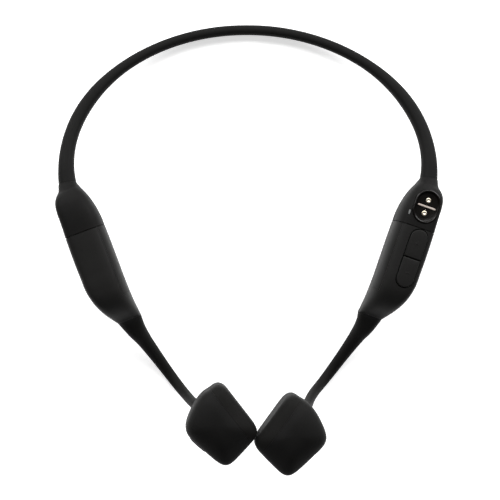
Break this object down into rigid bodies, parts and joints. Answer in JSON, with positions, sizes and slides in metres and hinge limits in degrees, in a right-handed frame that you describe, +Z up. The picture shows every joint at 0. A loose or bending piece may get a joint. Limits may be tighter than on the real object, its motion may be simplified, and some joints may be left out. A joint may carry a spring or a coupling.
{
  "type": "bone conduction headphones",
  "caption": "Wireless open-ear headset: a sprung neckband carries two pods, ear hooks and cheekbone transducers, stored lying flipped over.",
  "frame": {"origin": "middle of the footprint, on the surface the flipped headset lies on", "axes": "+Z up, which is the wearer's down; +Y to the back of the neckband; +X to the wearer's right"},
  "size_m": [0.1322, 0.1528, 0.0474],
  "materials": {
    "silicone": "matte soft-touch black silicone",
    "contact_silicone": "matte black skin-side silicone, a shade paler",
    "soft_plastic": "fine satin black plastic",
    "cover_plastic": "satin dark grey plastic",
    "nylon": "plain moulded nylon",
    "gloss_black": "polished black plastic",
    "gold_plate": "bright gold plating",
    "titanium_wire": "drawn titanium alloy wire",
    "copper_coil": "enamelled copper winding",
    "steel": "stamped steel",
    "nickel": "bright nickel plating",
    "circuit_board": "green solder mask",
    "battery_foil": "matte laminate foil",
    "cable_jacket": "smooth dark jacket",
    "light_lens": "clear milky lens",
    "ceramic": "fired ceramic"
  },
  "bodies": {
    "neckband_center": {"neckband_cable_center": "cable_jacket", "neckband_sleeve_center": "silicone", "neckband_wire_center": "titanium_wire"},
    "left_side": {"battery_cell": "battery_foil", "battery_protection_board": "circuit_board", "left_band_cap": "silicone", "left_contact_shell": "contact_silicone", "left_hook_cable": "cable_jacket", "left_hook_sleeve": "silicone", "left_hook_wire": "titanium_wire", "left_pod_chassis": "nylon", "left_pod_inner_cover": "cover_plastic", "left_pod_shell": "soft_plastic", "left_suspension_spring": "steel", "left_transducer_housing": "silicone", "left_voice_coil": "copper_coil", "multifunction_switch": "steel", "neckband_cable_left": "cable_jacket", "neckband_sleeve_left": "silicone", "neckband_wire_left": "titanium_wire"},
    "right_side": {"antenna": "ceramic", "charging_contact_1": "gold_plate", "charging_contact_2": "gold_plate", "charging_magnet_1": "nickel", "charging_magnet_2": "nickel", "charging_port_insert": "gloss_black", "main_board": "circuit_board", "microphone_capsule": "nickel", "microphone_mesh": "steel", "neckband_cable_right": "cable_jacket", "neckband_sleeve_right": "silicone", "neckband_wire_right": "titanium_wire", "right_band_cap": "silicone", "right_contact_shell": "contact_silicone", "right_hook_cable": "cable_jacket", "right_hook_sleeve": "silicone", "right_hook_wire": "titanium_wire", "right_pod_chassis": "nylon", "right_pod_inner_cover": "cover_plastic", "right_pod_shell": "soft_plastic", "right_suspension_spring": "steel", "right_transducer_housing": "silicone", "right_voice_coil": "copper_coil", "status_light_lens": "light_lens", "volume_down_switch": "steel", "volume_up_switch": "steel", "wireless_module_shield": "nickel"},
    "left_exciter": {"left_exciter_magnet": "nickel", "left_exciter_yoke": "steel"},
    "right_exciter": {"right_exciter_magnet": "nickel", "right_exciter_yoke": "steel"},
    "volume_up": {"volume_up_button": "soft_plastic"},
    "volume_down": {"volume_down_button": "soft_plastic"},
    "multifunction": {"multifunction_button": "soft_plastic"}
  },
  "joints": [
    {"name": "right_flex", "type": "hinge", "parent": "neckband_center", "child": "right_side", "pos_m": [0.02, 0.07217, 0.00278], "axis": [0, 0, 1], "range_deg": [0, 26], "stiffness_Nm_per_rad": 0.15},
    {"name": "left_flex", "type": "hinge", "parent": "neckband_center", "child": "left_side", "pos_m": [-0.02, 0.07217, 0.00278], "axis": [0, 0, -1], "range_deg": [0, 26], "stiffness_Nm_per_rad": 0.15},
    {"name": "volume_up_press", "type": "slide", "parent": "right_side", "child": "volume_up", "axis": [0, 0, -1], "range_m": [0, 0.00035], "stiffness_N_per_m": 1500},
    {"name": "volume_down_press", "type": "slide", "parent": "right_side", "child": "volume_down", "axis": [0, 0, -1], "range_m": [0, 0.00035], "stiffness_N_per_m": 1500},
    {"name": "multifunction_press", "type": "slide", "parent": "left_side", "child": "multifunction", "axis": [0.6724, 0.7402, 0], "range_m": [0, 0.00035], "stiffness_N_per_m": 1500},
    {"name": "right_exciter_travel", "type": "slide", "parent": "right_side", "child": "right_exciter", "axis": [0.7983, -0.6022, 0], "range_m": [-0.0002, 0.0002], "stiffness_N_per_m": 2000},
    {"name": "left_exciter_travel", "type": "slide", "parent": "left_side", "child": "left_exciter", "axis": [-0.7983, -0.6022, 0], "range_m": [-0.0002, 0.0002], "stiffness_N_per_m": 2000}
  ]
}
